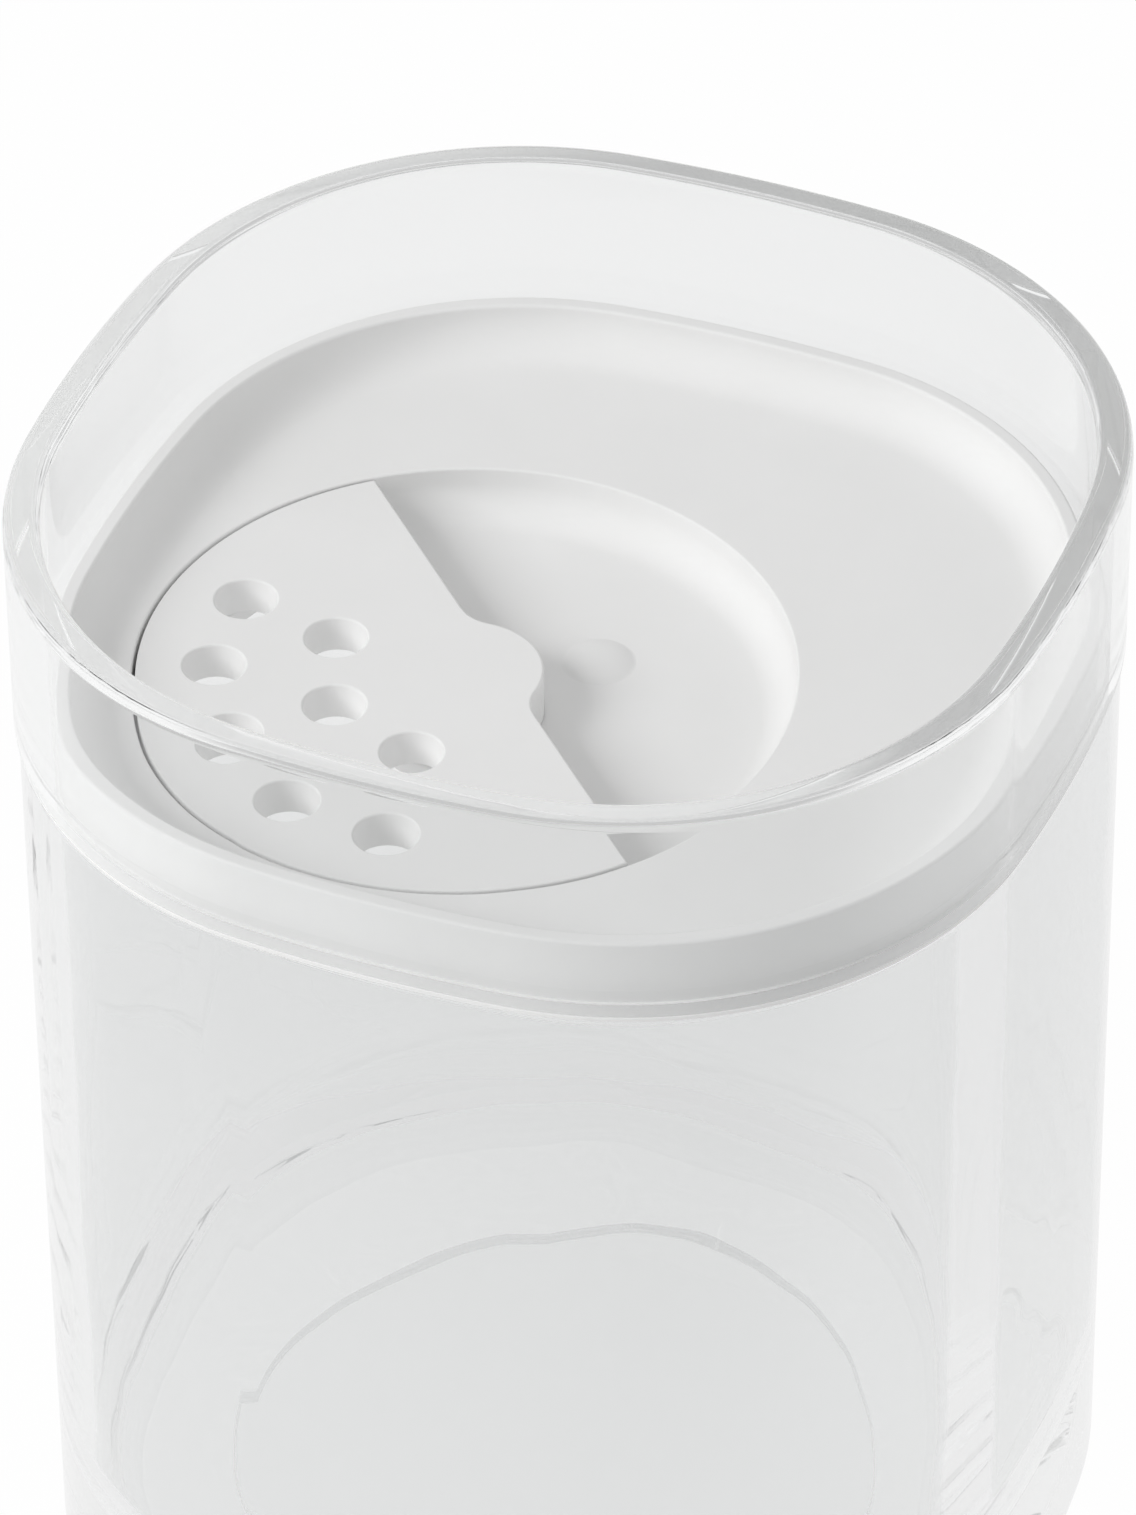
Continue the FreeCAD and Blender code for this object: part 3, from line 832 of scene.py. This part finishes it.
def perforated_dial_tree():
    """Joins the dial's plate, rib and hub and cuts its slot and its rows of holes."""
    inputs = {
        "Rib": "Object", "Hub": "Object", "Slot": "Object", "Hole": "Object",
        "Pivot": "Vector", "Heading": "Float",
        "Outer Radius": "Float", "Outer Step": "Float", "Outer Count": "Int",
        "Inner Radius": "Float", "Inner Step": "Float", "Inner Count": "Int", "Material": "Material",
    }
    tree, given = new_tree("perforated_dial", inputs)

    def shell(label):
        return add(tree, "GeometryNodeObjectInfo", {"Object": given[label]}).outputs["Geometry"]

    def row(label):
        """Holes at even steps on an arc about the pivot, its middle opposite the open heading."""
        count = given[label + " Count"]
        index = add(tree, "GeometryNodeInputIndex", {}).outputs[0]
        middle = calc(tree, "DIVIDE", calc(tree, "SUBTRACT", count, 1.0), 2.0)
        steps = calc(tree, "SUBTRACT", index, middle)
        angle = calc(tree, "MULTIPLY_ADD", steps, given[label + " Step"], given["Heading"])
        radius = given[label + " Radius"]
        spot = add(tree, "ShaderNodeCombineXYZ", {
            "X": calc(tree, "MULTIPLY", radius, calc(tree, "COSINE", angle)),
            "Y": calc(tree, "MULTIPLY", radius, calc(tree, "SINE", angle)),
        }).outputs[0]
        place = add(tree, "ShaderNodeVectorMath", {0: spot, 1: given["Pivot"]}, operation="ADD").outputs[0]
        points = add(tree, "GeometryNodePoints", {"Count": count, "Position": place}).outputs[0]
        spread_out = {"Points": points, "Instance": shell("Hole")}
        holes = add(tree, "GeometryNodeInstanceOnPoints", spread_out).outputs[0]
        return add(tree, "GeometryNodeRealizeInstances", {"Geometry": holes}).outputs[0]

    solid = add(tree, "GeometryNodeMeshBoolean", {}, operation="UNION", solver="EXACT")
    for part in (given["Geometry"], shell("Rib"), shell("Hub")):
        tree.links.new(part, solid.inputs["Mesh 2"])
    whole = {"Mesh 1": solid.outputs[0]}
    cut = add(tree, "GeometryNodeMeshBoolean", whole, operation="DIFFERENCE", solver="EXACT")
    for part in (shell("Slot"), row("Outer"), row("Inner")):
        tree.links.new(part, cut.inputs["Mesh 2"])
    end_tree(tree, cut.outputs[0], given["Material"])
    return tree


def shaker_dial(material):
    piece = dial_plate()
    tools = {"Rib": dial_rib(), "Hub": dial_hub(), "Slot": snap_slot(), "Hole": hole_cutter()}
    apply_tree(piece, perforated_dial_tree(), {
        **tools, "Pivot": (PIVOT.x * MM, PIVOT.y * MM, 0.0), "Heading": math.radians(OPEN_HEADING + 180),
        "Outer Radius": OUTER_ROW_RADIUS * MM, "Outer Step": math.radians(OUTER_ROW_STEP),
        "Outer Count": OUTER_ROW_COUNT, "Inner Radius": INNER_ROW_RADIUS * MM,
        "Inner Step": math.radians(INNER_ROW_STEP), "Inner Count": INNER_ROW_COUNT, "Material": material,
    })
    for tool in tools.values():
        bpy.data.meshes.remove(tool.data)
    settle(piece, flat_tops=True)
    return piece


# Materials
def new_material(name):
    material = bpy.data.materials.new(name)
    material.use_nodes = True
    return material, material.node_tree, material.node_tree.nodes["Principled BSDF"]


def noise_field(tree, scale, detail=2.0):
    """Noise on the piece's own coordinates, with a scale in waves to the metre."""
    inputs = {
        "Vector": add(tree, "ShaderNodeTexCoord", {}).outputs["Object"], "Scale": scale, "Detail": detail,
    }
    return add(tree, "ShaderNodeTexNoise", inputs).outputs[0]


def spread(tree, field, low, high):
    """A noise field, which keeps near its middle, spread over a range."""
    inputs = {"Value": field, "From Min": NOISE_LOW, "From Max": NOISE_HIGH, "To Min": low, "To Max": high}
    return add(tree, "ShaderNodeMapRange", inputs).outputs["Result"]


def bump(tree, field, strength, depth):
    """Bump of a depth in millimetres."""
    inputs = {"Height": field, "Strength": strength, "Distance": depth * MM}
    return add(tree, "ShaderNodeBump", inputs).outputs["Normal"]


def clear_material(name, colour, ior, haze_scale, haze, ripple_scale, ripple_detail, ripple, ripple_depth):
    """A clear finish with a faint haze and ripples in its surface."""
    material, tree, shader = new_material(name)
    shader.inputs["Base Color"].default_value = colour
    shader.inputs["Transmission Weight"].default_value = 1.0
    shader.inputs["IOR"].default_value = ior
    tree.links.new(spread(tree, noise_field(tree, haze_scale), *haze), shader.inputs["Roughness"])
    ripples = bump(tree, noise_field(tree, ripple_scale, ripple_detail), ripple, ripple_depth)
    tree.links.new(ripples, shader.inputs["Normal"])
    return material


def pressed_glass():
    return clear_material(
        "pressed_glass", colour=(0.885, 0.89, 0.89, 1.0), ior=1.5, haze_scale=90.0, haze=(0.0, 0.012),
        ripple_scale=120.0, ripple_detail=1.0, ripple=0.12, ripple_depth=0.15,
    )


def clear_plastic():
    return clear_material(
        "clear_plastic", colour=(0.95, 0.955, 0.955, 1.0), ior=1.54, haze_scale=140.0, haze=(0.0, 0.012),
        ripple_scale=170.0, ripple_detail=1.0, ripple=0.1, ripple_depth=0.1,
    )


def clear_silicone():
    return clear_material(
        "clear_silicone", colour=(0.95, 0.955, 0.955, 1.0), ior=1.41, haze_scale=900.0, haze=(0.08, 0.2),
        ripple_scale=2400.0, ripple_detail=2.0, ripple=0.1, ripple_depth=0.05,
    )


def white_plastic():
    """A white with a slight cloud in its colour and the fine satin grain of a moulded piece."""
    material, tree, shader = new_material("white_plastic")
    cloud = spread(tree, noise_field(tree, scale=70.0, detail=3.0), low=0.0, high=1.0)
    greyer = (0.835, 0.835, 0.83, 1.0)
    whiter = (0.865, 0.865, 0.862, 1.0)
    tint = add(tree, "ShaderNodeMix", {"Factor": cloud, "A": greyer, "B": whiter}, data_type="RGBA")
    satin = spread(tree, noise_field(tree, scale=1500.0, detail=3.0), low=0.42, high=0.55)
    grain = bump(tree, noise_field(tree, scale=5200.0, detail=3.0), strength=0.12, depth=0.02)
    tree.links.new(tint.outputs["Result"], shader.inputs["Base Color"])
    tree.links.new(satin, shader.inputs["Roughness"])
    tree.links.new(grain, shader.inputs["Normal"])
    return material


# Studio
def towards(azimuth, elevation):
    """The direction from the object to a place, with azimuth turned from the front."""
    turn = math.radians(azimuth)
    lift = math.radians(elevation)
    return Vector((math.sin(turn) * math.cos(lift), -math.cos(turn) * math.cos(lift), math.sin(lift)))


def studio_rays(tree):
    """One for rays of the camera, and one for rays that show it the studio in gloss or through glass. Rays
    that have left a dull surface count for neither, so that it takes even light through glass too."""
    path = add(tree, "ShaderNodeLightPath", {}).outputs
    shown = calc(tree, "MAXIMUM", path["Is Glossy Ray"], path["Is Transmission Ray"])
    from_dull = calc(tree, "MINIMUM", path["Diffuse Depth"], 1.0)
    return path["Is Camera Ray"], calc(tree, "MULTIPLY", shown, calc(tree, "SUBTRACT", 1.0, from_dull))


def room(tree, place, start, end, dim):
    """Strength of what gloss and glass show of the studio. It is white straight through glass, and what is
    mirrored falls to a dimmer level on the camera's side, between two reaches towards the camera."""
    reach = {0: place, 1: towards(CAMERA_AZIMUTH, 0)}
    nearness = add(tree, "ShaderNodeVectorMath", reach, operation="DOT_PRODUCT")
    loss = add(tree, "ShaderNodeMapRange", {
        "Value": nearness.outputs["Value"], "From Min": start, "From Max": end,
        "To Min": 0.0, "To Max": 1 - dim,
    }, interpolation_type="SMOOTHSTEP").outputs["Result"]
    mirrored = calc(tree, "MINIMUM", add(tree, "ShaderNodeLightPath", {}).outputs["Glossy Depth"], 1.0)
    return calc(tree, "SUBTRACT", 1.0, calc(tree, "MULTIPLY", loss, mirrored))


def background(tree, strength):
    return add(tree, "ShaderNodeBackground", {"Color": WHITE_LIGHT, "Strength": strength}).outputs[0]


def studio_world():
    """Even light, a white backdrop for the camera, and the room for gloss and glass."""
    world = bpy.data.worlds.new("studio")
    bpy.context.scene.world = world
    world.use_nodes = True
    world.cycles.sampling_method = "NONE"
    tree = world.node_tree
    tree.nodes.clear()
    camera, glass = studio_rays(tree)
    direction = add(tree, "ShaderNodeTexCoord", {}).outputs["Generated"]
    shade = room(tree, direction, WORLD_DIM_START, WORLD_DIM_END, WORLD_DIM)
    lighting = background(tree, WORLD_LIGHT)
    shown = add(tree, "ShaderNodeMixShader", {0: glass, 1: lighting, 2: background(tree, shade)}).outputs[0]
    mixed = add(tree, "ShaderNodeMixShader", {0: camera, 1: shown, 2: background(tree, 1.0)}).outputs[0]
    add(tree, "ShaderNodeOutputWorld", {"Surface": mixed})


def studio_floor():
    """A pale floor that keeps a trace of the object's shadow, white to the camera and the room to glass."""
    shape = bmesh.new()
    bmesh.ops.create_grid(shape, x_segments=1, y_segments=1, size=FLOOR_HALF)
    floor = shape_object("floor", shape)
    material = bpy.data.materials.new("pale_floor")
    material.use_nodes = True
    tree = material.node_tree
    tree.nodes.clear()
    paint = add(tree, "ShaderNodeBsdfDiffuse", {"Color": FLOOR_COLOUR}).outputs[0]
    camera, glass = studio_rays(tree)
    place = add(tree, "ShaderNodeTexCoord", {}).outputs["Object"]
    strength = calc(tree, "MAXIMUM", camera, room(tree, place, FLOOR_DIM_START, FLOOR_DIM_END, FLOOR_DIM))
    glow = add(tree, "ShaderNodeEmission", {"Color": WHITE_LIGHT, "Strength": strength}).outputs[0]
    to_camera = calc(tree, "MULTIPLY", camera, FLOOR_CAMERA_GLOW)
    to_glass = calc(tree, "MULTIPLY", glass, FLOOR_GLASS_GLOW)
    share = calc(tree, "MAXIMUM", to_camera, to_glass)
    mixed = add(tree, "ShaderNodeMixShader", {0: share, 1: paint, 2: glow}).outputs[0]
    add(tree, "ShaderNodeOutputMaterial", {"Surface": mixed})
    floor.data.materials.append(material)


def softbox(name, aside, elevation, size, watts):
    """A square area lamp that faces the lid, turned aside from the camera."""
    away = towards(CAMERA_AZIMUTH + aside, elevation)
    lamp = bpy.data.lights.new(name, "AREA")
    lamp.shape = "SQUARE"
    lamp.size = size
    lamp.energy = watts
    box = bpy.data.objects.new(name, lamp)
    bpy.context.scene.collection.objects.link(box)
    box.location = Vector((0, 0, PLATE_TOP * MM)) + away * LAMP_DISTANCE
    box.rotation_mode = "QUATERNION"
    box.rotation_quaternion = (-away).to_track_quat("-Z", "Y")
    box.visible_camera = False
    box.visible_glossy = False
    box.visible_transmission = False


def photo_camera():
    """A camera at the fitted place, aimed so that the rim's middle falls on its pixel with no shift."""
    away = towards(CAMERA_AZIMUTH, CAMERA_ELEVATION)
    right = towards(CAMERA_AZIMUTH + 90, 0)
    up = away.cross(right)
    roll = Matrix.Rotation(math.radians(CAMERA_ROLL), 3, "Z")
    basis = Matrix((right, up, away)).transposed() @ roll
    focal_pixels = PIXELS_PER_MM * CAMERA_DISTANCE
    to_rim = basis @ Vector((RIM_PIXEL_X - IMAGE_WIDTH / 2, IMAGE_HEIGHT / 2 - RIM_PIXEL_Y, -focal_pixels))
    data = bpy.data.cameras.new("photo_camera")
    data.sensor_width = SENSOR
    data.lens = focal_pixels / max(IMAGE_WIDTH, IMAGE_HEIGHT) * SENSOR
    camera = bpy.data.objects.new("photo_camera", data)
    bpy.context.scene.collection.objects.link(camera)
    camera.matrix_world = basis.to_4x4()
    camera.location = (Vector((0, 0, RIM_HEIGHT)) - to_rim.normalized() * CAMERA_DISTANCE) * MM
    bpy.context.scene.camera = camera


PLAN_SWEEP = plan_sweep_tree()
WHITE = white_plastic()
PIECES = (
    (glass_jar(pressed_glass()), "jar", "glass_jar", "clear_glass"),
    (lid_collar(clear_plastic()), "lid", "lid_collar", "clear_plastic"),
    (seal_ring(clear_silicone()), "lid", "seal_ring", "silicone"),
    (shaker_insert(WHITE), "lid", "shaker_insert", "white_plastic"),
    (shaker_dial(WHITE), "dial", "shaker_dial", "white_plastic"),
)
for piece, body, node, slot in PIECES:
    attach(piece, body)
    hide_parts(node)

# Lamps shine through the clear pieces, and the collar leads the studio's light down to the flange
for piece, body, node, slot in PIECES[:3]:
    piece.visible_shadow = False
    piece.visible_diffuse = node == "lid_collar"

photo_camera()
studio_world()
studio_floor()
softbox("key", KEY_ASIDE, KEY_ELEVATION, KEY_SIZE, KEY_WATTS)
softbox("fill", FILL_ASIDE, FILL_ELEVATION, FILL_SIZE, FILL_WATTS)

scene = bpy.context.scene
scene.view_settings.view_transform = "Standard"

# Light passes many walls of the clear pieces, and none of them blurs what a dull surface sees through it
scene.cycles.max_bounces = BOUNCES
scene.cycles.transmission_bounces = BOUNCES
scene.cycles.glossy_bounces = BOUNCES
scene.cycles.blur_glossy = 0.0
